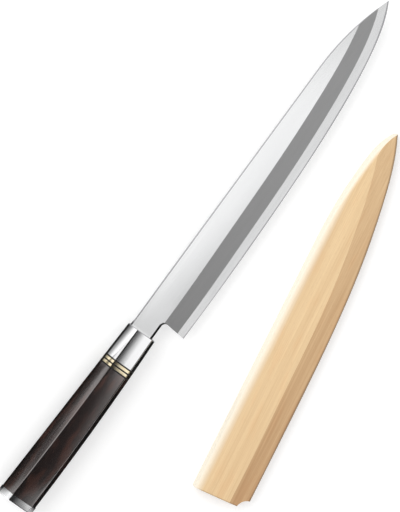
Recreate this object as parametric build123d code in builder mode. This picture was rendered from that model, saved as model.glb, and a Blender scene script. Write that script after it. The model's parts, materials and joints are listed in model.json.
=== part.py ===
from build123d import *

import os
from math import cos, radians, sin, sqrt

# A single-bevel slicing knife and its wooden sheath, in millimetres.
# X runs from heel to tip, Y from edge to spine, Z out of the bevelled front face.
# The origin is on the flat back of the blade, level with the heel, on the knife's centre line.

# Blade
edge_length = 270.0
root_thickness = 3.3
tip_thickness = 1.7
spine_rise = 9.5
heel_drop = 27.6
tip_drop = 2.6
nose_length = 65.0
belly_shares = ((0.22, 1.0), (0.44, 0.94), (0.70, 0.765), (0.875, 0.485), (0.95, 0.26))
bevel_width_heel = 18.7
bevel_width_middle = 19.5
bevel_width_tip = 16.9
bevel_shares = (0.2, 0.4, 0.6, 0.75, 0.88)
edge_land = 0.25
core_heel_share = 0.375
core_tip_share = 0.51
spine_ease = 0.35

# Neck between blade and ferrule
neck_length = 12.85
neck_drop = 8.7
choil_lean = 1.6
notch_radius = 3.0
neck_ease = 1.2
neck_step = 0.3
neck_step_gap = 1.5

# Hollow ground into the back
hollow_depth = 0.35
hollow_edge_rim = 2.4
hollow_spine_rim = 2.2
hollow_shares = ((0.05, 0.35, 0.30), (0.12, 0.90, 0.90), (0.30, 1.0, 1.0), (0.50, 1.0, 1.0),
                 (0.68, 1.0, 0.95), (0.82, 0.90, 0.75), (0.91, 0.55, 0.25))

# Handle, measured from the centre line
spine_side_front = 10.8
spine_side_rear = 14.95
belly_side_front = 11.0
belly_side_middle = 13.0
belly_side_rear = 12.3
half_thickness_front = 9.95
half_thickness_rear = 11.7
side_facet_front = 12.6
side_facet_rear = 16.1
edge_facet_front = 4.4
edge_facet_rear = 5.4
facet_crown_share = 0.022
ferrule_length = 25.3
black_spacer_width = 1.05
brass_ring_width = 1.85
grip_length = 108.0
ferrule_shares = (0.0, 0.25, 0.5, 0.75, 1.0)
grip_shares = (0.0, 0.2, 0.4, 0.6, 0.8, 1.0)
cap_length = 5.2
wood_ridge_radius = 2.0
metal_ridge_radius = 1.2
ferrule_lip_ease = 0.4
cap_proud = 0.4
cap_round = 1.0
cap_round_turns = (0, 30, 60, 90)

# Handle core
ferrule_plate = 3.0
slot_gap = 0.05
dowel_diameter = 15.0
dowel_gap = 0.1
dowel_in_grip = 45.0
tang_height_root = 9.0
tang_height_end = 6.0
tang_thickness = 2.6
tang_length = 100.0
tang_gap = 0.3
stud_diameter = 5.0
stud_weld_length = 8.0
stud_gap = 0.3
thread_gap = 0.05
washer_diameter = 12.0
washer_thickness = 1.0
nut_width = 8.0
nut_height = 4.0
nut_bore_depth = 9.0
nut_bore_diameter = 15.0
stud_end_gap = 0.8
cap_plug_gap = 0.1
cap_plug_length = 3.0

# Sheath
saya_mouth_reach = 7.0
saya_tip_wall = 5.0
saya_spine_wall = 1.8
saya_edge_wall = 1.8
saya_front_thickness = 6.9
saya_back_thickness = 3.6
saya_edge_thickness = 4.6
saya_bevel_width = 14.5
saya_tip_drop = 17.0
saya_nose_length = 84.0
saya_nose_shares = ((0.34, 0.10), (0.64, 0.31), (0.84, 0.55))
saya_edge_shares = ((0.17, 1.0), (0.43, 0.97), (0.68, 0.80), (0.84, 0.53), (0.92, 0.33))
saya_notch_radius = 8.2
saya_notch_offset = 1.7
saya_spine_round = 2.5
saya_foot_round = 1.4
saya_edge_ease = 1.0
pocket_depth = 4.4
pocket_edge_depth = 1.6
pocket_gap = 0.45
saya_corner_x = -79.0
saya_corner_y = -99.8
saya_turn = 10.2

# Every cut runs this far past what it cuts
overrun = 5.0

# Places along the knife
ferrule_front_x = -neck_length
ferrule_rear_x = ferrule_front_x - ferrule_length
plate_widths = {
    "front_black_spacer": black_spacer_width,
    "front_brass_ring": brass_ring_width,
    "middle_black_spacer": black_spacer_width,
    "rear_brass_ring": brass_ring_width,
    "rear_black_spacer": black_spacer_width,
}
grip_front_x = ferrule_rear_x - sum(plate_widths.values())
grip_rear_x = grip_front_x - grip_length
handle_length = ferrule_front_x - grip_rear_x + cap_length
plate_rear_x = ferrule_front_x - ferrule_plate
tang_end_x = plate_rear_x - tang_length
nut_floor_x = grip_rear_x + nut_bore_depth
centre_z = root_thickness / 2
table_z = centre_z - half_thickness_rear - cap_proud


def slice_at(base, x):
    """Plane square to the base's x, with its own x along the base's y and its y upwards."""
    return Plane(origin=base.from_local_coords((x, 0, 0)), x_dir=base.y_dir, z_dir=base.x_dir)


def across(x):
    """Plane square to the handle at x, centred on the knife."""
    return slice_at(Plane.XY.offset(centre_z), x)


def between(start, end, share):
    """Value a share of the way from start to end."""
    return start + (end - start) * share


def through(start, middle, end, share):
    """Value on the parabola through three evenly spaced values."""
    bow = middle - between(start, end, 0.5)
    return between(start, end, share) + 4 * bow * share * (1 - share)


# Blade geometry


def blade_thickness(x):
    """Thickness of the tapered blade at x."""
    return between(root_thickness, tip_thickness, (x - ferrule_front_x) / (edge_length - ferrule_front_x))


def spine_y(x):
    """Height of the spine above the centre line at x."""
    nose_drop = spine_rise + tip_drop
    nose_radius = (nose_length**2 + nose_drop**2) / (2 * nose_drop)
    along = max(x - edge_length + nose_length, 0)
    return spine_rise - nose_radius + sqrt(nose_radius**2 - along**2)


def belly_points(grow=0):
    """Points of the cutting edge from heel to tip, or of a line that runs outside it."""
    shares = ((0, 1),) + belly_shares + ((1, 0),)
    return [
        ((edge_length + grow) * x_share, -between(tip_drop, heel_drop + grow, drop_share))
        for x_share, drop_share in shares
    ]


def blade_outline(plane, rear_points, grow=0):
    """Side view of the blade from its nose round the tip to the heel, closed by rear_points."""
    belly = belly_points(grow)
    nose_start = (edge_length - nose_length, spine_rise + grow)
    with BuildSketch(plane) as outline:
        with BuildLine():
            Spline(*belly)
            TangentArc(nose_start, belly[-1], tangent=(1, 0))
            Polyline(nose_start, *rear_points, belly[0])
        make_face()
    return outline.sketch


def stations(curve, shares, run_in=overrun):
    """Points along an edge curve, and one past each end of it."""
    before = curve @ 0 - (curve % 0) * run_in
    after = curve @ 1 + (curve % 1) * overrun
    return [before, curve @ 0] + [curve @ share for share in shares] + [curve @ 1, after]


def bevel_section(plane, edge_y, width, foot_z, face_z):
    """Slice of the stock above a bevel that climbs from the edge to the face."""
    slope = (face_z - foot_z) / width
    low_y = edge_y - overrun
    high_y = edge_y + width + overrun
    top_z = face_z + slope * overrun + overrun
    with BuildSketch(plane) as section:
        with BuildLine():
            Polyline(
                (low_y, foot_z - slope * overrun),
                (high_y, face_z + slope * overrun),
                (high_y, top_z),
                (low_y, top_z),
                close=True,
            )
        make_face()
    return section.sketch


def bevel_width(x):
    """Width of the bevel at x."""
    share = x / edge_length
    return through(bevel_width_heel, bevel_width_middle, bevel_width_tip, share)


def hollow_section(x, edge_y, width_share, depth_share):
    """Slice at x of the hollow in the back, an arc over a flat foot."""
    low_y = edge_y + hollow_edge_rim
    high_y = spine_y(x) - hollow_spine_rim
    middle_y = (low_y + high_y) / 2
    half_width = width_share * (high_y - low_y) / 2
    depth = depth_share * hollow_depth
    left, right = middle_y - half_width, middle_y + half_width
    with BuildSketch(slice_at(Plane.XY, x)) as section:
        with BuildLine():
            ThreePointArc((left, 0), (middle_y, depth), (right, 0))
            Polyline((right, 0), (right, -hollow_depth), (left, -hollow_depth), (left, 0))
        make_face()
    return section.sketch


def layer_plane(heel_share, tip_share):
    """Plane along the blade, at these shares of its thickness above the back."""
    heel_z = heel_share * blade_thickness(0)
    tip_z = tip_share * blade_thickness(edge_length)
    return Plane(
        origin=(0, 0, heel_z), x_dir=(edge_length, 0, tip_z - heel_z), z_dir=(heel_z - tip_z, 0, edge_length)
    )


weld_plane = layer_plane(core_heel_share, core_tip_share)
core_rear_x = ferrule_front_x - ferrule_plate / 2
nose_middle_y = (spine_rise - tip_drop) / 2
edge_curve = Spline(*belly_points())

# Forged and ground blade, before it is told apart into its two layers
with BuildPart() as blank:
    corner = (choil_lean, -neck_drop)
    neck_points = [(core_rear_x, spine_rise), (core_rear_x, -neck_drop), corner]
    add(blade_outline(Plane.XY, neck_points))
    extrude(amount=root_thickness + overrun)
    notch = blank.edges().filter_by(Axis.Z).sort_by_distance(corner)[0]
    fillet(notch, notch_radius)
    split(bisect_by=layer_plane(1, 1), keep=Keep.BOTTOM)

    # Eased spine and rounded neck, notch and choil on the front
    front_rim = blank.faces().sort_by(Axis.Z)[-1].outer_wire().edges()
    spine_rim = front_rim.filter_by(lambda rim: (rim @ 0.5).Y > nose_middle_y)
    chamfer(spine_rim, spine_ease)
    front_rim = blank.faces().sort_by(Axis.Z)[-1].outer_wire().edges()
    neck_rim = front_rim.filter_by(
        lambda rim: (rim @ 0.5).Y < 0 and core_rear_x < (rim @ 0.5).X < notch_radius
    )
    fillet(neck_rim, neck_ease)

    # Wide bevel from the edge up to the ridge line
    bevel_slices = [
        bevel_section(
            slice_at(Plane.XY, spot.X), spot.Y, bevel_width(spot.X), edge_land, blade_thickness(spot.X)
        )
        for spot in stations(edge_curve, bevel_shares)
    ]
    loft(sections=bevel_slices, mode=Mode.SUBTRACT)

    # Hollow back
    hollow_slices = []
    for x_share, width_share, depth_share in hollow_shares:
        x = edge_length * x_share
        low = edge_curve.find_intersection_points(Axis((x, 0, 0), (0, 1, 0)))[0]
        hollow_slices.append(hollow_section(x, low.Y, width_share, depth_share))
    loft(sections=hollow_slices, mode=Mode.SUBTRACT)

# Hard steel layer that carries the edge
with BuildPart() as blade_core:
    add(blank.part)
    split(bisect_by=weld_plane, keep=Keep.BOTTOM)

    # Shallow step that lets the back of the neck into the ferrule
    step_x = ferrule_front_x + neck_step_gap
    with BuildSketch() as step:
        with Locations((step_x, 0)):
            Rectangle(neck_length, 2 * spine_rise + overrun, align=(Align.MAX, Align.CENTER))
    extrude(amount=neck_step, mode=Mode.SUBTRACT)

# Soft iron layer, with the tang behind it
with BuildPart() as blade_cladding:
    add(blank.part)
    split(bisect_by=weld_plane, keep=Keep.TOP)

    # Full-height root that fills the slot of the ferrule
    with BuildSketch(Plane.XY.offset(neck_step)) as root:
        with Locations((core_rear_x, (spine_rise - neck_drop) / 2)):
            Rectangle(
                core_rear_x - plate_rear_x, spine_rise + neck_drop, align=(Align.MAX, Align.CENTER)
            )
    extrude(amount=root_thickness - neck_step)

    # Tapered tang
    with BuildSketch(Plane.XY.offset(centre_z - tang_thickness / 2)) as tang:
        with BuildLine():
            Polyline(
                (plate_rear_x, tang_height_root / 2),
                (tang_end_x, tang_height_end / 2),
                (tang_end_x, -tang_height_end / 2),
                (plate_rear_x, -tang_height_root / 2),
                close=True,
            )
        make_face()
    extrude(amount=tang_thickness)

# Handle geometry


def octagon(x, ridge_radius=0, proud=0):
    """Slice at x of the long octagonal handle, whose eight facets are a little crowned."""
    share = (ferrule_front_x - x) / handle_length
    side_facet = between(side_facet_front, side_facet_rear, share)
    edge_facet = between(edge_facet_front, edge_facet_rear, share)
    edge_inset = proud - facet_crown_share * edge_facet
    side_inset = proud - facet_crown_share * side_facet
    spine_side = between(spine_side_front, spine_side_rear, share) + edge_inset
    belly_side = through(belly_side_front, belly_side_middle, belly_side_rear, share) + edge_inset
    half_thickness = between(half_thickness_front, half_thickness_rear, share) + side_inset
    middle = (spine_side - belly_side) / 2
    corners = [
        Vector(spine_side, -edge_facet / 2),
        Vector(spine_side, edge_facet / 2),
        Vector(middle + side_facet / 2, half_thickness),
        Vector(middle - side_facet / 2, half_thickness),
        Vector(-belly_side, edge_facet / 2),
        Vector(-belly_side, -edge_facet / 2),
        Vector(middle - side_facet / 2, -half_thickness),
        Vector(middle + side_facet / 2, -half_thickness),
    ]
    with BuildSketch(across(x)) as section:
        with BuildLine():
            for start, end in zip(corners, corners[1:] + corners[:1]):
                SagittaArc(start, end, -facet_crown_share * (end - start).length)
        make_face()
        if ridge_radius:
            fillet(section.vertices(), ridge_radius)
    return section.sketch


def drill(front_x, rear_x, diameter):
    """Round bore along the handle, cut from the part being built."""
    with BuildSketch(across(front_x)) as bore:
        Circle(diameter / 2)
    extrude(to_extrude=bore.sketch, amount=rear_x - front_x, mode=Mode.SUBTRACT)


dowel_bore = dowel_diameter + 2 * dowel_gap

# Polished ferrule with an eased lip, hollow behind a slotted front plate
lip_x = ferrule_front_x - ferrule_lip_ease
with BuildPart() as ferrule:
    ferrule_slices = [
        octagon(between(ferrule_rear_x, lip_x, share), metal_ridge_radius) for share in ferrule_shares
    ]
    lip_slice = octagon(ferrule_front_x, metal_ridge_radius, -ferrule_lip_ease)
    loft(sections=ferrule_slices + [lip_slice], ruled=True)
    drill(plate_rear_x, ferrule_rear_x, dowel_bore)
    with BuildSketch(across(ferrule_front_x)) as slot:
        with Locations(((spine_rise - neck_drop) / 2, neck_step / 2)):
            Rectangle(
                spine_rise + neck_drop + 2 * slot_gap, root_thickness - neck_step + 2 * slot_gap
            )
    extrude(amount=-ferrule_plate, mode=Mode.SUBTRACT)


# Bored black and brass plates, from the ferrule back to the grip
plates = {}
front_x = ferrule_rear_x
for name, width in plate_widths.items():
    rear_x = front_x - width
    with BuildPart() as plate:
        loft(sections=[octagon(rear_x, metal_ridge_radius), octagon(front_x, metal_ridge_radius)])
        drill(front_x, rear_x, dowel_bore)
    plates[name] = plate
    front_x = rear_x

# Hardwood grip, bored for dowel, tang and nut
with BuildPart() as grip:
    grip_slices = [
        octagon(between(grip_rear_x, grip_front_x, share), wood_ridge_radius) for share in grip_shares
    ]
    loft(sections=grip_slices, ruled=True)
    drill(grip_front_x, grip_front_x - dowel_in_grip, dowel_bore)
    drill(grip_front_x, tang_end_x, tang_height_root + 2 * tang_gap)
    drill(grip_front_x, grip_rear_x, stud_diameter + 2 * stud_gap)
    drill(nut_floor_x, grip_rear_x, nut_bore_diameter)


def cap_slice(turn):
    """Slice of the butt cap where its rounded rim has turned by so many degrees."""
    x = grip_rear_x - cap_length + cap_round * (1 - sin(radians(turn)))
    return octagon(x, metal_ridge_radius, cap_proud - cap_round * (1 - cos(radians(turn))))


# Steel butt cap with a plug that fills the mouth of the nut bore
with BuildPart() as end_cap:
    loft(sections=[cap_slice(0), octagon(grip_rear_x, metal_ridge_radius, cap_proud)])
    loft(sections=[cap_slice(turn) for turn in reversed(cap_round_turns)], ruled=True)
    with BuildSketch(across(grip_rear_x)) as plug:
        Circle(nut_bore_diameter / 2 - cap_plug_gap)
    extrude(amount=cap_plug_length)

# Slotted wooden dowel round the tang
with BuildPart() as tenon_dowel:
    dowel_rear_x = grip_front_x - dowel_in_grip
    with BuildSketch(across(plate_rear_x)):
        Circle(dowel_diameter / 2)
    extrude(amount=dowel_rear_x - plate_rear_x)
    with BuildSketch(across(plate_rear_x)) as dowel_slot:
        Rectangle(tang_height_root + 2 * tang_gap, tang_thickness + 2 * tang_gap)
    extrude(amount=dowel_rear_x - plate_rear_x, mode=Mode.SUBTRACT)

# Threaded rod, slotted over the end of the tang
with BuildPart() as tang_stud:
    stud_front_x = tang_end_x + stud_weld_length
    stud_rear_x = nut_floor_x - washer_thickness - nut_height - stud_end_gap
    with BuildSketch(across(stud_front_x)):
        Circle(stud_diameter / 2)
    extrude(amount=stud_rear_x - stud_front_x)
    with BuildSketch(across(stud_front_x)) as stud_slot:
        Rectangle(stud_diameter + 2 * stud_gap, tang_thickness + 2 * thread_gap)
    extrude(amount=-stud_weld_length, mode=Mode.SUBTRACT)

# Washer and nut at the bottom of the counterbore
with BuildPart() as clamp_washer:
    with BuildSketch(across(nut_floor_x)):
        Circle(washer_diameter / 2)
        Circle(stud_diameter / 2 + stud_gap / 2, mode=Mode.SUBTRACT)
    extrude(amount=-washer_thickness)

with BuildPart() as clamp_nut:
    with BuildSketch(across(nut_floor_x - washer_thickness)):
        RegularPolygon(nut_width / 2, 6, major_radius=False)
        Circle(stud_diameter / 2 + thread_gap, mode=Mode.SUBTRACT)
    extrude(amount=-nut_height)

# Sheath geometry, in its own plane with x towards its tip and y towards its spine

saya_joint = Plane(
    origin=(saya_corner_x, saya_corner_y, table_z + saya_back_thickness),
    x_dir=(cos(radians(saya_turn)), sin(radians(saya_turn)), 0),
    z_dir=(0, 0, 1),
)
saya_length = saya_mouth_reach + edge_length + saya_tip_wall
blade_height = spine_rise + heel_drop
saya_width = saya_spine_wall + blade_height + 2 * pocket_gap + saya_edge_wall


def saya_edge_curve():
    """Edge side of the sheath, from mouth to tip."""
    points = [(0, -saya_width)]
    points += [
        (saya_length * x_share, -between(saya_tip_drop, saya_width, drop_share))
        for x_share, drop_share in saya_edge_shares
    ]
    points += [(saya_length, -saya_tip_drop)]
    return Spline(*points)


side_curve = saya_edge_curve()


def saya_outline(plane):
    """Side view of the sheath, with the round notch at its mouth."""
    nose_x = saya_length - saya_nose_length
    with BuildSketch(plane) as outline:
        with BuildLine():
            saya_edge_curve()
            nose_points = [(nose_x, 0)]
            nose_points += [
                (nose_x + saya_nose_length * x_share, -saya_tip_drop * drop_share)
                for x_share, drop_share in saya_nose_shares
            ]
            nose_points += [(saya_length, -saya_tip_drop)]
            Spline(*nose_points)
            Polyline((nose_x, 0), (0, 0), (0, -saya_width))
        make_face()
        with Locations((-saya_notch_offset, -saya_width)):
            Circle(saya_notch_radius, mode=Mode.SUBTRACT)
    return outline.sketch


def spine_rims(face):
    """Rims of an outer face of the sheath, along its spine and nose."""
    return face.outer_wire().edges().filter_by(
        lambda rim: saya_joint.to_local_coords(rim @ 0.5).Y > -saya_tip_drop / 2
    )


def side_rim(half, height):
    """Corner of a half at a height over the joint, along its edge side."""
    middle = saya_joint.offset(height).from_local_coords(side_curve @ 0.5)
    return half.edges().sort_by_distance(middle)[0]


# Room for the blade, open at the mouth and lower under the bevel
pocket_plane = Plane(
    origin=saya_joint.from_local_coords(
        (saya_mouth_reach, -saya_spine_wall - pocket_gap - spine_rise, 0)
    ),
    x_dir=saya_joint.x_dir,
    z_dir=saya_joint.z_dir,
)
with BuildPart() as pocket:
    mouth_x = -saya_mouth_reach - overrun
    mouth_points = [(mouth_x, spine_rise + pocket_gap), (mouth_x, -heel_drop - pocket_gap)]
    add(blade_outline(pocket_plane, mouth_points, pocket_gap))
    extrude(amount=pocket_depth)
    pocket_slices = [
        bevel_section(
            slice_at(pocket_plane, spot.X), spot.Y, bevel_width_heel, pocket_edge_depth, pocket_depth
        )
        for spot in stations(Spline(*belly_points(pocket_gap)), bevel_shares, overrun - mouth_x)
    ]
    loft(sections=pocket_slices, mode=Mode.SUBTRACT)

# Front half of the sheath, with the outer bevel and the pocket
side_slices = [
    bevel_section(
        slice_at(saya_joint, spot.X), spot.Y, saya_bevel_width, saya_edge_thickness, saya_front_thickness
    )
    for spot in stations(side_curve, bevel_shares)
]
with BuildPart() as saya_front_half:
    add(saya_outline(saya_joint))
    extrude(amount=saya_front_thickness)
    loft(sections=side_slices, mode=Mode.SUBTRACT)
    fillet(spine_rims(saya_front_half.faces().sort_by(Axis.Z)[-1]), saya_spine_round)
    chamfer(side_rim(saya_front_half, saya_edge_thickness), saya_edge_ease)
    add(pocket.part, mode=Mode.SUBTRACT)

# Back half of the sheath, flat inside
with BuildPart() as saya_back_half:
    add(saya_outline(saya_joint))
    extrude(amount=-saya_back_thickness)
    fillet(spine_rims(saya_back_half.faces().sort_by(Axis.Z)[0]), saya_foot_round)
    chamfer(side_rim(saya_back_half, -saya_back_thickness), saya_edge_ease)

pieces = {
    "blade_cladding": blade_cladding,
    "blade_core": blade_core,
    "ferrule": ferrule,
    **plates,
    "grip": grip,
    "end_cap": end_cap,
    "tenon_dowel": tenon_dowel,
    "tang_stud": tang_stud,
    "clamp_washer": clamp_washer,
    "clamp_nut": clamp_nut,
    "saya_front_half": saya_front_half,
    "saya_back_half": saya_back_half,
}

os.makedirs("parts", exist_ok=True)
for name, piece in pieces.items():
    piece.part.label = name
    export_step(piece.part, f"parts/{name}.step")
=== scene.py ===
import json
from math import cos, radians, sin

import bmesh
import bpy
from mathutils import Matrix, Vector


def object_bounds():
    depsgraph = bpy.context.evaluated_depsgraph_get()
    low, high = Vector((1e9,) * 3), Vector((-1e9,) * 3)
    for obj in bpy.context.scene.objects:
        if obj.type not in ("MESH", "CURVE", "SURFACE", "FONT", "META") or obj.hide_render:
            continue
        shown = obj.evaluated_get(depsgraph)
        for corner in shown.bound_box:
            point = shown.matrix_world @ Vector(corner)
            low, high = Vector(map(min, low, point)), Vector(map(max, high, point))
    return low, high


# A single-bevel slicing knife and its wooden sheath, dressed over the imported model.
# Lengths are in metres, and angles across the knife run from straight up towards its spine.
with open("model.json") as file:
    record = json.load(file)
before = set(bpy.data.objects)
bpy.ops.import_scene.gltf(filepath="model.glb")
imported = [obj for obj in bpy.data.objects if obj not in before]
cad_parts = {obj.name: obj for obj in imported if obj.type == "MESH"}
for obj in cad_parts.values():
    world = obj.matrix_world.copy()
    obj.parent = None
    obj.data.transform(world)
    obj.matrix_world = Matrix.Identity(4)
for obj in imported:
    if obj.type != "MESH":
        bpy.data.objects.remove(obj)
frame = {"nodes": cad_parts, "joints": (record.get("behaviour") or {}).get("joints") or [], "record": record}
cad_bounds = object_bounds()

MM = 0.001

# Photograph's frame
FRAME_HEIGHT_PX = 512
PIXEL = 0.6835 * MM
KNIFE_AXIS_RIGHT = 0.592
KNIFE_AXIS_UP = 0.806
VIEW_TILT_DEG = 18
VIEW_DISTANCE = 2.0
VIEW_TARGET = Vector((52.6, -1.2, 2.2)) * MM
SENSOR = 36.0

# Floor and room
FLOOR_REACH = 6.0
FLOOR_GREY = (0.85, 0.85, 0.85)
FLOOR_ROUGHNESS = 0.9
FLOOR_GLOW = 0.28
ROOM_LIGHT = 0.82

# Soft box
LAMP_ANGLE_DEG = 50
LAMP_ALONG = 50 * MM
LAMP_DISTANCE = 1.5
LAMP_LENGTH = 1.4
LAMP_WIDTH = 0.9
LAMP_POWER = 10.0

# Cards that bend round the knife. Each column has a place along it, and the angles of four rows.
CARD_BLACK = (0.01, 0.01, 0.01)
CARD_DISTANCE = 0.6
SIDE_CARD_DISTANCE = 0.55
CARD_SOLIDS = (0.0, 0.55, 0.98, 0.98)
OVERHEAD_CARD = (
    (-0.40, (-60, -48, -34, 42)),
    (-0.149, (-60, -48, -34, 42)),
    (-0.147, (-30, -20, -10, 84)),
    (-0.127, (-30, -20, -10, 84)),
    (-0.123, (-60, -48, -34, 42)),
    (-0.10, (-51, -36.5, -21.5, 42)),
    (-0.07, (-45, -32, -18, 42)),
    (-0.0355, (-36, -27, -15, 42)),
    (-0.031, (-19, -13.5, -9, 84)),
    (0.003, (-18.5, -13, -9, 84)),
    (0.014, (-15, -8, -2, 84)),
    (0.05, (0, 10, 20, 42)),
    (0.10, (8, 20, 32, 42)),
    (0.15, (2, 12, 22, 42)),
    (0.175, (-5, 5, 15, 42)),
    (0.20, (-14, -4, 6, 42)),
    (0.26, (-23, -15, -7, 42)),
    (0.60, (-26, -18, -10, 42)),
)
SPINE_CARD = (
    (-0.118, (70, 78, 86, 93)),
    (-0.10, (73, 81, 89, 93)),
    (-0.07, (79, 86, 91.5, 93)),
    (-0.05, (86, 89.5, 91.8, 93)),
    (-0.036, (92.6, 92.8, 92.9, 93)),
)
SIDE_CARD = (
    (-0.40, (-28, -38, -50, -98)),
    (-0.149, (-28, -38, -50, -98)),
    (-0.147, (-80, -84, -90, -98)),
    (-0.127, (-80, -84, -90, -98)),
    (-0.124, (-28, -38, -50, -98)),
    (-0.09, (-34, -43, -53, -98)),
    (0.006, (-33, -43, -53, -98)),
    (0.014, (-80, -84, -90, -98)),
    (0.60, (-80, -84, -90, -98)),
)

# Card on the floor by the handle. Each column has a place along it, and how solid it is at each Y.
CARD_LIFT = 0.1 * MM
UNDER_LEAN = 0.07
UNDER_Y = (-0.09, -0.045, 0.053, 0.065, 0.086, 0.103, 0.127, 0.18, 0.26, 0.50, 0.80, 3.0)
UNDER_CARD = (
    (-0.20, (0, 0, 0, 0, 0, 0, 0, 0, 0, 0, 0, 0)),
    (-0.158, (0.5, 0.6, 0.72, 0.6, 0.5, 0.44, 0.38, 0.32, 0.28, 0.22, 0.15, 0)),
    (-0.154, (0.5, 1, 0.99, 0.99, 0.99, 0.985, 0.98, 0.97, 0.95, 0.88, 0.75, 0.3)),
    (-0.11, (0.5, 1, 0.99, 0.99, 0.985, 0.98, 0.975, 0.96, 0.92, 0.82, 0.62, 0.1)),
    (-0.050, (0.5, 1, 0.99, 0.985, 0.98, 0.975, 0.965, 0.94, 0.88, 0.72, 0.45, 0)),
    (-0.0465, (0.5, 1, 0.97, 0.80, 0.62, 0.42, 0.24, 0.08, 0, 0, 0, 0)),
    (-0.014, (0.5, 1, 0.97, 0.80, 0.62, 0.42, 0.24, 0.08, 0, 0, 0, 0)),
    (-0.011, (0, 0, 0, 0, 0, 0, 0, 0, 0, 0, 0, 0)),
)

# Shared by several finishes: the range that most of a noise fills, and the grey of painted shade on the
# honed edge and on forward-facing lips
NOISE_RANGE = (0.3, 0.7)
GRAIN_RANGE = (0.2, 0.8)
PAINTED_SHADE_GREY = (0.38, 0.38, 0.39)

# Which way a surface looks, by one part of its normal
UPWARD_Z = 0.9
BEVEL_Y = -0.08
HEEL_FACE_X = -0.05
SPINE_ROUNDING_Y = 0.3
NOTCH_WALL_Y = -0.25
LIP_X = 0.3
SAYA_BEVEL_Y = (-0.08, -0.13)
SAYA_FOOT_Y = -0.4
SAYA_ROUNDING_Y = (0.1, 0.9)

# Blade's painted light and shade, each from where it starts to where it is full
LOW_SHADE_Y = (6 * MM, -8 * MM)
LOW_SHADE_BY_POINT_X = (190 * MM, 30 * MM)
LOW_SHADE_BY_NECK_X = (-12 * MM, 20 * MM)
CORE_PAINTED_LIGHT_X = (38 * MM, -2 * MM)
HONED_TOP_Z = 0.34 * MM

# Painted shade: dark line round the notch and along the neck's underside
NOTCH_CENTRE = Vector((-1.66, -11.7, 0)) * MM
NOTCH_LINE_REACH = (4.7 * MM, 4.4 * MM)
NOTCH_LINE_X = (1.5 * MM, 0.6 * MM)
NOTCH_WALL_X = 4 * MM
NECK_LINE_Y = (-6.65 * MM, -6.95 * MM)
NECK_LINE_X = -1 * MM

# Sheath, in directions turned to the draw joint's axis
DRAW_AXIS = Vector(frame["joints"][0]["axis"])
SAYA_TURN = Vector((1, 0)).angle_signed(DRAW_AXIS.xy) * -1
SAYA_MOUTH_X = -95.4 * MM
SAYA_TIP_X = 186.6 * MM
SAYA_SPINE_Y = -84.2 * MM
SAYA_RIM_Z = -2.06 * MM
# Dark line along the mouth, painted shade along the low rim, and painted light by the spine
MOUTH_LINE_X = (SAYA_MOUTH_X + 0.9 * MM, SAYA_MOUTH_X + 0.2 * MM)
SPINE_LIGHT_Y = (SAYA_SPINE_Y - 5.5 * MM, SAYA_SPINE_Y)
RIM_LINE_Z = (SAYA_RIM_Z + 0.15 * MM, SAYA_RIM_Z)


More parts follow.
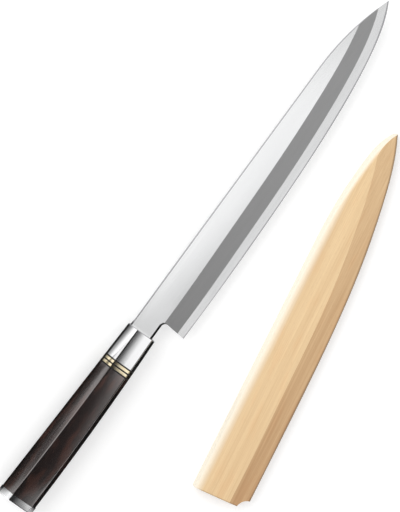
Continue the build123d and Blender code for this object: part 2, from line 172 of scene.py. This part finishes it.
class Graph:
    """A material's node tree, with a short call for each kind of node used here."""

    def __init__(self, name):
        self.material = bpy.data.materials.new(name)
        self.material.use_nodes = True
        self.tree = self.material.node_tree
        self.shader = self.tree.nodes["Principled BSDF"]

    def feed(self, socket, value):
        if isinstance(value, bpy.types.NodeSocket):
            self.tree.links.new(value, socket)
        else:
            socket.default_value = value

    def node(self, kind, inputs, **settings):
        made = self.tree.nodes.new(kind)
        for setting, value in settings.items():
            setattr(made, setting, value)
        for socket, value in inputs.items():
            self.feed(made.inputs[socket], value)
        return made

    def set(self, **values):
        """Gives the shader's sockets values or links, with underscores for spaces."""
        for socket, value in values.items():
            self.feed(self.shader.inputs[socket.replace("_", " ")], value)

    def place(self, turn=0.0):
        """Point on the object, turned about Z so that X runs along the grain."""
        point = self.node("ShaderNodeTexCoord", {}).outputs["Object"]
        if not turn:
            return point
        inputs = {"Vector": point, "Rotation": (0, 0, -turn)}
        return self.node("ShaderNodeMapping", inputs).outputs[0]

    def normal(self):
        """X, Y and Z of the surface's normal in the object's own directions."""
        return self.parts(self.node("ShaderNodeTexCoord", {}).outputs["Normal"])

    def parts(self, vector):
        return self.node("ShaderNodeSeparateXYZ", {"Vector": vector}).outputs

    def stretch(self, vector, lengths_mm):
        """The same point measured in features of these lengths along X, Y and Z."""
        scale = [1 / (length * MM) for length in lengths_mm]
        return self.node("ShaderNodeMapping", {"Vector": vector, "Scale": scale}).outputs[0]

    def noise(self, vector, lengths_mm, detail=3.0, roughness=0.5, distortion=0.0):
        inputs = {
            "Vector": self.stretch(vector, lengths_mm),
            "Scale": 1.0,
            "Detail": detail,
            "Roughness": roughness,
            "Distortion": distortion,
        }
        return self.node("ShaderNodeTexNoise", inputs).outputs["Fac"]

    def span(self, value, low, high, new_low=0.0, new_high=1.0, smooth=False):
        """Value carried from one range to another, and held at its ends."""
        inputs = {
            "Value": value,
            "From Min": low,
            "From Max": high,
            "To Min": new_low,
            "To Max": new_high,
        }
        kind = "SMOOTHSTEP" if smooth else "LINEAR"
        return self.node("ShaderNodeMapRange", inputs, interpolation_type=kind).outputs[0]

    def math(self, operation, first, second=0.0):
        made = self.node("ShaderNodeMath", {0: first, 1: second}, operation=operation)
        return made.outputs[0]

    def above(self, value, limit):
        return self.math("GREATER_THAN", value, limit)

    def below(self, value, limit):
        return self.math("LESS_THAN", value, limit)

    def product(self, first, *others):
        for other in others:
            first = self.math("MULTIPLY", first, other)
        return first

    def largest(self, first, *others):
        for other in others:
            first = self.math("MAXIMUM", first, other)
        return first

    def reach(self, point, centre):
        """Distance of a point from a centre, seen from above."""
        offset = self.node("ShaderNodeVectorMath", {0: point, 1: centre}, operation="SUBTRACT")
        inputs = {0: offset.outputs[0], 1: (1, 1, 0)}
        level = self.node("ShaderNodeVectorMath", inputs, operation="MULTIPLY")
        length = self.node("ShaderNodeVectorMath", {0: level.outputs[0]}, operation="LENGTH")
        return length.outputs["Value"]

    def blend(self, share, low, high):
        """Colour that goes from low to high with share."""
        inputs = {0: share, 6: colour(low), 7: colour(high)}
        return self.node("ShaderNodeMix", inputs, data_type="RGBA").outputs[2]

    def tinted(self, share, base, tint):
        """Colour that goes from base to base through a tinted glass with share."""
        inputs = {0: share, 6: colour(base), 7: colour(tint)}
        settings = {"data_type": "RGBA", "blend_type": "MULTIPLY"}
        return self.node("ShaderNodeMix", inputs, **settings).outputs[2]

    def mix(self, share, low, high):
        """Number that goes from low to high with share."""
        inputs = {0: share, 2: low, 3: high}
        return self.node("ShaderNodeMix", inputs, data_type="FLOAT").outputs[0]

    def bump(self, height, depth_mm):
        """Normal of a surface with this height, whose full range is depth_mm deep."""
        inputs = {"Height": height, "Distance": depth_mm * MM}
        return self.node("ShaderNodeBump", inputs).outputs[0]


def colour(value):
    """Colour socket's value from three numbers, or the link itself."""
    return value if isinstance(value, bpy.types.NodeSocket) else (*value, 1.0)


# Steels


def satin_lines(graph, point):
    """Height of fine lengthwise grinding lines, long and close together."""
    fine = graph.noise(point, (9.0, 0.10, 0.10), detail=2.0)
    broad = graph.noise(point, (40.0, 0.6, 0.6), detail=3.0)
    return graph.mix(0.35, fine, broad)


def notch_painted_shade(graph, point, spot, normal):
    """Share of the painted shade, a dark line round the notch's rim and along the neck's underside."""
    wall = graph.product(
        graph.below(normal["Y"], NOTCH_WALL_Y),
        graph.below(spot["X"], NOTCH_WALL_X),
    )
    neck = graph.product(
        graph.span(spot["Y"], *NECK_LINE_Y),
        graph.below(spot["X"], NECK_LINE_X),
    )
    rim = graph.product(
        graph.span(graph.reach(point, NOTCH_CENTRE), *NOTCH_LINE_REACH),
        graph.span(spot["X"], *NOTCH_LINE_X),
    )
    return graph.largest(rim, wall, neck)


def soft_iron():
    """Satin flat above the ridge line, and a blasted grey bevel below it."""
    graph = Graph("soft_iron")
    point = graph.place()
    spot = graph.parts(point)
    normal = graph.normal()
    bevel = graph.product(
        graph.below(normal["Y"], BEVEL_Y),
        graph.above(normal["Z"], UPWARD_Z),
        graph.above(normal["X"], HEEL_FACE_X),
    )

    lines = satin_lines(graph, point)
    cloud = graph.noise(point, (55.0, 9.0, 9.0), detail=2.0)
    # Painted shade low on the flat, towards the edge, the point and the neck
    low_shade = graph.product(
        graph.span(spot["Y"], *LOW_SHADE_Y),
        graph.span(spot["X"], *LOW_SHADE_BY_POINT_X),
        graph.span(spot["X"], *LOW_SHADE_BY_NECK_X, 0.3, 1.0),
    )
    flat = graph.blend(cloud, (0.90, 0.905, 0.91), (0.97, 0.975, 0.98))
    shaded = graph.blend(graph.product(low_shade, 0.55), flat, (0.52, 0.525, 0.53))
    # Painted shade: the spine's rounding is coloured darker grey
    on_spine = graph.above(normal["Y"], SPINE_ROUNDING_Y)
    satin = graph.blend(on_spine, shaded, (0.42, 0.42, 0.43))
    satin_roughness = graph.span(lines, *NOISE_RANGE, 0.18, 0.25)

    grit = graph.noise(point, (0.30, 0.22, 0.22), detail=4.0, roughness=0.7)
    mist = graph.noise(point, (22.0, 2.5, 2.5), detail=3.0)
    mottle = graph.mix(0.5, grit, mist)
    blasted = graph.blend(mottle, (0.43, 0.43, 0.432), (0.53, 0.53, 0.532))

    steel = graph.blend(bevel, satin, blasted)
    # Painted shade: the dark line round the notch, which also loses its reflection
    painted_shade_line = notch_painted_shade(graph, point, spot, normal)
    height = graph.mix(bevel, graph.product(lines, 0.12), graph.product(grit, 0.6))
    graph.set(
        Base_Color=graph.blend(painted_shade_line, steel, (0.012, 0.012, 0.012)),
        Metallic=1.0,
        Specular_Tint=graph.blend(painted_shade_line, (1, 1, 1), (0.01, 0.01, 0.01)),
        Roughness=graph.mix(bevel, satin_roughness, 0.62),
        Normal=graph.bump(height, 0.02),
    )
    return graph.material


def hard_steel():
    """Finer polished core, with painted light toward the heel and painted shade along the honed edge."""
    graph = Graph("hard_steel")
    point = graph.place()
    spot = graph.parts(point)
    lines = satin_lines(graph, point)
    facing_edge = graph.below(graph.normal()["Y"], BEVEL_Y)
    # Painted shade on the honed edge strip
    honed = graph.product(facing_edge, graph.below(spot["Z"], HONED_TOP_Z))
    cloud = graph.noise(point, (30.0, 3.0, 3.0), detail=3.0)
    polished = graph.blend(cloud, (0.68, 0.684, 0.688), (0.76, 0.764, 0.768))
    # Painted light: the core is lightened toward the heel
    painted_light_by_heel = graph.span(spot["X"], *CORE_PAINTED_LIGHT_X)
    brightened = graph.blend(painted_light_by_heel, polished, (0.90, 0.90, 0.905))
    graph.set(
        Base_Color=graph.blend(honed, brightened, PAINTED_SHADE_GREY),
        Metallic=1.0,
        Roughness=graph.span(lines, *NOISE_RANGE, 0.20, 0.30),
        Normal=graph.bump(graph.product(lines, 0.10), 0.02),
    )
    return graph.material


def mirror_steel():
    """Buffed ferrule and cap, with a faint haze, hairline wipe marks and painted shade on forward-facing
    lips.
    """
    graph = Graph("mirror_steel")
    point = graph.place()
    haze = graph.noise(point, (6.0, 4.0, 4.0), detail=3.0)
    hairs = graph.noise(point, (0.05, 5.0, 5.0), detail=2.0)
    buffed = graph.blend(haze, (0.92, 0.92, 0.93), (0.97, 0.97, 0.975))
    # Painted shade on the lip
    painted_shade_on_lip = graph.above(graph.normal()["X"], LIP_X)
    graph.set(
        Base_Color=graph.blend(painted_shade_on_lip, buffed, PAINTED_SHADE_GREY),
        Metallic=1.0,
        Roughness=graph.span(graph.mix(0.4, haze, hairs), *NOISE_RANGE, 0.05, 0.11),
        Normal=graph.bump(haze, 0.002),
    )
    return graph.material


def plain_steel():
    """Turned rod, nut and washer inside the handle."""
    graph = Graph("plain_steel")
    point = graph.place()
    rings = graph.noise(point, (0.12, 3.0, 3.0), detail=2.0)
    graph.set(
        Base_Color=graph.blend(rings, (0.46, 0.46, 0.47), (0.60, 0.60, 0.61)),
        Metallic=1.0,
        Roughness=graph.span(rings, *NOISE_RANGE, 0.32, 0.45),
        Normal=graph.bump(rings, 0.01),
    )
    return graph.material


def brass():
    """Polished rings, warmer where they have dulled."""
    graph = Graph("brass")
    point = graph.place()
    shine = graph.noise(point, (2.0, 3.0, 3.0), detail=2.0)
    graph.set(
        Base_Color=graph.blend(shine, (1.0, 0.80, 0.50), (1.0, 0.94, 0.70)),
        Metallic=1.0,
        Roughness=graph.span(shine, *NOISE_RANGE, 0.08, 0.04),
        Normal=graph.bump(shine, 0.002),
    )
    return graph.material


def black_fibre():
    """Sanded black spacers."""
    graph = Graph("black_fibre")
    point = graph.place()
    fibre = graph.noise(point, (0.3, 0.3, 0.3), detail=4.0)
    graph.set(
        Base_Color=graph.blend(fibre, (0.006, 0.006, 0.006), (0.016, 0.015, 0.014)),
        Roughness=graph.span(fibre, *NOISE_RANGE, 0.35, 0.5),
        Normal=graph.bump(fibre, 0.01),
    )
    return graph.material


# Woods


def dark_wood():
    """Waxed close-grained hardwood, nearly black with red-brown streaks."""
    graph = Graph("dark_wood")
    point = graph.place()
    streaks = graph.noise(point, (70.0, 2.2, 2.2), detail=4.0, roughness=0.55, distortion=0.3)
    blush = graph.noise(point, (26.0, 6.0, 6.0), detail=2.0)
    pores = graph.noise(point, (3.0, 0.12, 0.12), detail=2.0)
    pits = graph.span(pores, 0.60, 0.72, smooth=True)
    dark = graph.blend(streaks, (0.004, 0.0020, 0.0018), (0.013, 0.0065, 0.005))
    reddish = graph.span(blush, 0.46, 0.68, smooth=True)
    warm = graph.blend(reddish, dark, (0.046, 0.019, 0.013))
    graph.set(
        Base_Color=graph.blend(graph.product(pits, 0.35), warm, (0.006, 0.004, 0.004)),
        Roughness=graph.span(streaks, *NOISE_RANGE, 0.23, 0.17),
        IOR=2.0,
        Specular_Tint=graph.blend(reddish, (1.0, 0.83, 0.80), (1.0, 0.70, 0.66)),
        Coat_Weight=1.0,
        Coat_IOR=2.4,
        Coat_Roughness=0.11,
        Normal=graph.bump(graph.math("SUBTRACT", 1.0, pits), 0.003),
    )
    return graph.material


def straight_grain(graph, point, light, dark):
    """Colour and height of pale wood with close straight grain and short flecks."""
    bands = graph.noise(point, (230.0, 5.0, 5.0), detail=3.0, distortion=0.2)
    lines = graph.noise(point, (60.0, 0.55, 0.55), detail=3.0)
    flecks = graph.noise(point, (4.5, 0.5, 0.5), detail=1.0)
    marks = graph.span(flecks, 0.58, 0.72, smooth=True)
    grain = graph.mix(0.45, bands, lines)
    wood = graph.blend(graph.span(grain, 0.36, 0.64), dark, light)
    marked = graph.blend(graph.product(marks, 0.55), wood, dark)
    blush = graph.noise(point, (34.0, 7.0, 7.0), detail=2.0)
    rosy = graph.span(blush, 0.50, 0.68, 0.0, 0.6, smooth=True)
    height = graph.math("SUBTRACT", lines, graph.product(marks, 0.5))
    return graph.tinted(rosy, marked, (1.0, 0.94, 0.90)), height


def magnolia():
    """Planed sheath, with painted shade on the bevel, strongest at the mouth, dark lines along its rims, and
    painted light along the spine.
    """
    graph = Graph("magnolia")
    point = graph.place(SAYA_TURN)
    spot = graph.parts(point)
    normal = graph.normal()
    wood, height = straight_grain(graph, point, (0.88, 0.645, 0.372), (0.75, 0.515, 0.28))

    facing_edge = graph.span(normal["Y"], *SAYA_BEVEL_Y)
    facing_up = graph.above(normal["Z"], UPWARD_Z)
    # Painted shade on the bevel, strongest at the mouth and fading toward the tip, varied by streaks
    shade_fade_to_tip = graph.span(spot["X"], SAYA_MOUTH_X, SAYA_TIP_X, 1.0, 0.42)
    streaks = graph.noise(point, (70.0, 1.1, 1.1), detail=3.0)
    shade = graph.span(streaks, 0.35, 0.65, 0.8, 1.15)
    painted_shade_on_bevel = graph.product(facing_edge, facing_up, shade_fade_to_tip, shade)
    bevel_with_painted_shade = graph.tinted(painted_shade_on_bevel, wood, (0.70, 0.60, 0.535))

    # Painted shade along the low rim and the edge-side foot, and a dark line along the mouth
    low_rim = graph.span(spot["Z"], *RIM_LINE_Z, 0.0, 0.7)
    edge_side_painted_shade = graph.largest(low_rim, graph.below(normal["Y"], SAYA_FOOT_Y))
    mouth = graph.span(spot["X"], *MOUTH_LINE_X, 0.0, 0.6)
    rim = graph.largest(graph.product(edge_side_painted_shade, facing_edge), mouth)
    edged = graph.tinted(rim, bevel_with_painted_shade, (0.40, 0.34, 0.29))

    # Painted light along the spine and on its rounding
    spine_painted_light = graph.span(spot["Y"], *SPINE_LIGHT_Y, 0.0, 0.85)
    on_spine = graph.span(normal["Y"], *SAYA_ROUNDING_Y, 0.0, 0.95)
    graph.set(
        Base_Color=graph.blend(graph.largest(spine_painted_light, on_spine), edged, (0.97, 0.90, 0.76)),
        Roughness=graph.span(height, *GRAIN_RANGE, 0.55, 0.65),
        Normal=graph.bump(height, 0.03),
    )
    return graph.material


def pale_wood():
    """Raw dowel inside the handle."""
    graph = Graph("pale_wood")
    wood, height = straight_grain(graph, graph.place(), (0.74, 0.56, 0.36), (0.58, 0.40, 0.23))
    graph.set(
        Base_Color=wood,
        Roughness=graph.span(height, *GRAIN_RANGE, 0.65, 0.8),
        Normal=graph.bump(height, 0.04),
    )
    return graph.material


# Light and room


def white_where_seen(tree, strength_seen, strength_lighting):
    """Strength of a glow: one that camera and reflections see, and one that lights things."""
    path = tree.nodes.new("ShaderNodeLightPath")
    shine = tree.nodes.new("ShaderNodeMath")
    shine.operation = "MAXIMUM"
    tree.links.new(path.outputs["Is Glossy Ray"], shine.inputs[0])
    tree.links.new(path.outputs["Is Transmission Ray"], shine.inputs[1])
    seen = tree.nodes.new("ShaderNodeMath")
    seen.operation = "MAXIMUM"
    tree.links.new(path.outputs["Is Camera Ray"], seen.inputs[0])
    tree.links.new(shine.outputs[0], seen.inputs[1])
    strength = tree.nodes.new("ShaderNodeMapRange")
    tree.links.new(seen.outputs[0], strength.inputs["Value"])
    strength.inputs["To Min"].default_value = strength_lighting
    strength.inputs["To Max"].default_value = strength_seen
    return strength.outputs[0]


def make_world():
    """White room all round, a little dimmer as a light than it looks."""
    world = bpy.data.worlds.new("studio")
    world.use_nodes = True
    tree = world.node_tree
    background = tree.nodes["Background"]
    background.inputs["Color"].default_value = (1, 1, 1, 1)
    tree.links.new(white_where_seen(tree, 1.0, ROOM_LIGHT), background.inputs["Strength"])
    bpy.context.scene.world = world


def make_strip(name, rows):
    """Stage surface through rows of points, each point with its share of solid colour."""
    mesh = bpy.data.meshes.new(name)
    shape = bmesh.new()
    solid = shape.verts.layers.float.new("solid")
    grid = []
    for row in rows:
        line = []
        for point, share in row:
            vert = shape.verts.new(point)
            vert[solid] = share
            line.append(vert)
        grid.append(line)
    for low, high in zip(grid, grid[1:]):
        for a, b, c, d in zip(low, low[1:], high[1:], high):
            shape.faces.new((a, b, c, d))
    shape.to_mesh(mesh)
    shape.free()
    made = bpy.data.objects.new(name, mesh)
    bpy.context.scene.collection.objects.link(made)
    return made


def make_floor():
    """Pale paper that the part rests on, glowing just enough to look white."""
    centre = Vector((VIEW_TARGET.x, VIEW_TARGET.y, cad_bounds[0][2]))
    rows = [
        [(centre + Vector((side, end, 0)) * FLOOR_REACH, 1.0) for side in (-1, 1)]
        for end in (-1, 1)
    ]
    floor = make_strip("floor", rows)
    graph = Graph("floor_paper")
    graph.set(
        Base_Color=colour(FLOOR_GREY),
        Roughness=FLOOR_ROUGHNESS,
        Emission_Color=colour((1, 1, 1)),
        Emission_Strength=white_where_seen(graph.tree, FLOOR_GLOW, 0.0),
    )
    floor.data.materials.append(graph.material)


def direction(angle_deg):
    """Direction across the knife, by its angle from straight up towards the spine side."""
    return Vector((0, sin(radians(angle_deg)), cos(radians(angle_deg))))


def make_lamp():
    """Soft box on the spine side of the knife, its long side along the knife."""
    light = bpy.data.lights.new("key", "AREA")
    light.shape = "RECTANGLE"
    light.size = LAMP_LENGTH
    light.size_y = LAMP_WIDTH
    light.energy = LAMP_POWER
    lamp = bpy.data.objects.new("key", light)
    bpy.context.scene.collection.objects.link(lamp)
    knife = Vector((1, 0, 0))
    facing = direction(LAMP_ANGLE_DEG)
    turn = Matrix((knife, facing.cross(knife), facing)).transposed().to_4x4()
    lamp.matrix_world = Matrix.Translation(knife * LAMP_ALONG + facing * LAMP_DISTANCE) @ turn
    lamp.visible_glossy = False


def card_material():
    """Black card that fades to clear where its surface says so."""
    material = bpy.data.materials.new("black_card")
    material.use_nodes = True
    tree = material.node_tree
    tree.nodes.clear()
    share = tree.nodes.new("ShaderNodeAttribute")
    share.attribute_name = "solid"
    clear = tree.nodes.new("ShaderNodeBsdfTransparent")
    black = tree.nodes.new("ShaderNodeBsdfDiffuse")
    black.inputs["Color"].default_value = colour(CARD_BLACK)
    mixed = tree.nodes.new("ShaderNodeMixShader")
    output = tree.nodes.new("ShaderNodeOutputMaterial")
    tree.links.new(share.outputs["Fac"], mixed.inputs[0])
    tree.links.new(clear.outputs[0], mixed.inputs[1])
    tree.links.new(black.outputs[0], mixed.inputs[2])
    tree.links.new(mixed.outputs[0], output.inputs[0])
    return material


def make_card(name, rows, material):
    """Card that only reflections see."""
    card = make_strip(name, rows)
    card.data.materials.append(material)
    card.visible_camera = False
    card.visible_diffuse = False
    card.visible_shadow = False
    card.visible_transmission = False


def mirrored(along, reach):
    """Place along a card, this far away, that a spot on the knife mirrors to the camera."""
    return along + (along - VIEW_TARGET.x) * reach / VIEW_DISTANCE


def on_card(along, angle_deg, distance):
    """Point of a card that bends round the knife, at the spot that mirrors it."""
    middle = Vector((mirrored(along, distance), 0, 0))
    return middle + direction(angle_deg) * distance


def bent_card(columns, distance):
    """Rows of a card that bends round the knife, more solid from row to row."""
    return [
        [(on_card(along, angles[row], distance), solid) for along, angles in columns]
        for row, solid in enumerate(CARD_SOLIDS)
    ]


def under_card():
    """Rows of the card on the floor, each leaning forward the further it reaches."""
    level = cad_bounds[0][2] + CARD_LIFT
    return [
        [
            (Vector((mirrored(along, abs(y)) + UNDER_LEAN * abs(y), y, level)), solid)
            for y, solid in zip(UNDER_Y, solids)
        ]
        for along, solids in UNDER_CARD
    ]


def make_cards():
    """Black cards that give the polished steel its dark bands."""
    material = card_material()
    make_card("overhead_card", bent_card(OVERHEAD_CARD, CARD_DISTANCE), material)
    make_card("spine_card", bent_card(SPINE_CARD, CARD_DISTANCE), material)
    make_card("side_card", bent_card(SIDE_CARD, SIDE_CARD_DISTANCE), material)
    make_card("under_card", under_card(), material)


def make_camera():
    """Camera above and a little to the spine side, with the knife slanting across the frame."""
    towards = direction(VIEW_TILT_DEG)
    knife = Vector((1, 0, 0))
    spine = towards.cross(knife)
    right = KNIFE_AXIS_RIGHT * knife - KNIFE_AXIS_UP * spine
    up = KNIFE_AXIS_UP * knife + KNIFE_AXIS_RIGHT * spine
    lens = bpy.data.cameras.new("camera")
    lens.type = "PERSP"
    lens.sensor_width = SENSOR
    lens.lens = SENSOR * VIEW_DISTANCE / (FRAME_HEIGHT_PX * PIXEL)
    camera = bpy.data.objects.new("camera", lens)
    bpy.context.scene.collection.objects.link(camera)
    turn = Matrix((right.normalized(), up.normalized(), towards)).transposed().to_4x4()
    camera.matrix_world = Matrix.Translation(VIEW_TARGET + towards * VIEW_DISTANCE) @ turn
    bpy.context.scene.camera = camera


def dress():
    """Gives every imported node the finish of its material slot."""
    finishes = {
        "soft_iron": soft_iron(),
        "hard_steel": hard_steel(),
        "mirror_steel": mirror_steel(),
        "plain_steel": plain_steel(),
        "brass": brass(),
        "black_fibre": black_fibre(),
        "dark_wood": dark_wood(),
        "magnolia": magnolia(),
        "pale_wood": pale_wood(),
    }
    for subpart in frame["record"]["subparts"]:
        node = frame["nodes"][subpart["node"]]
        for slot in node.material_slots:
            slot.material = finishes[subpart["material_slot"]]


make_camera()
make_world()
make_floor()
make_lamp()
make_cards()
dress()

bpy.context.scene.view_settings.view_transform = "Standard"
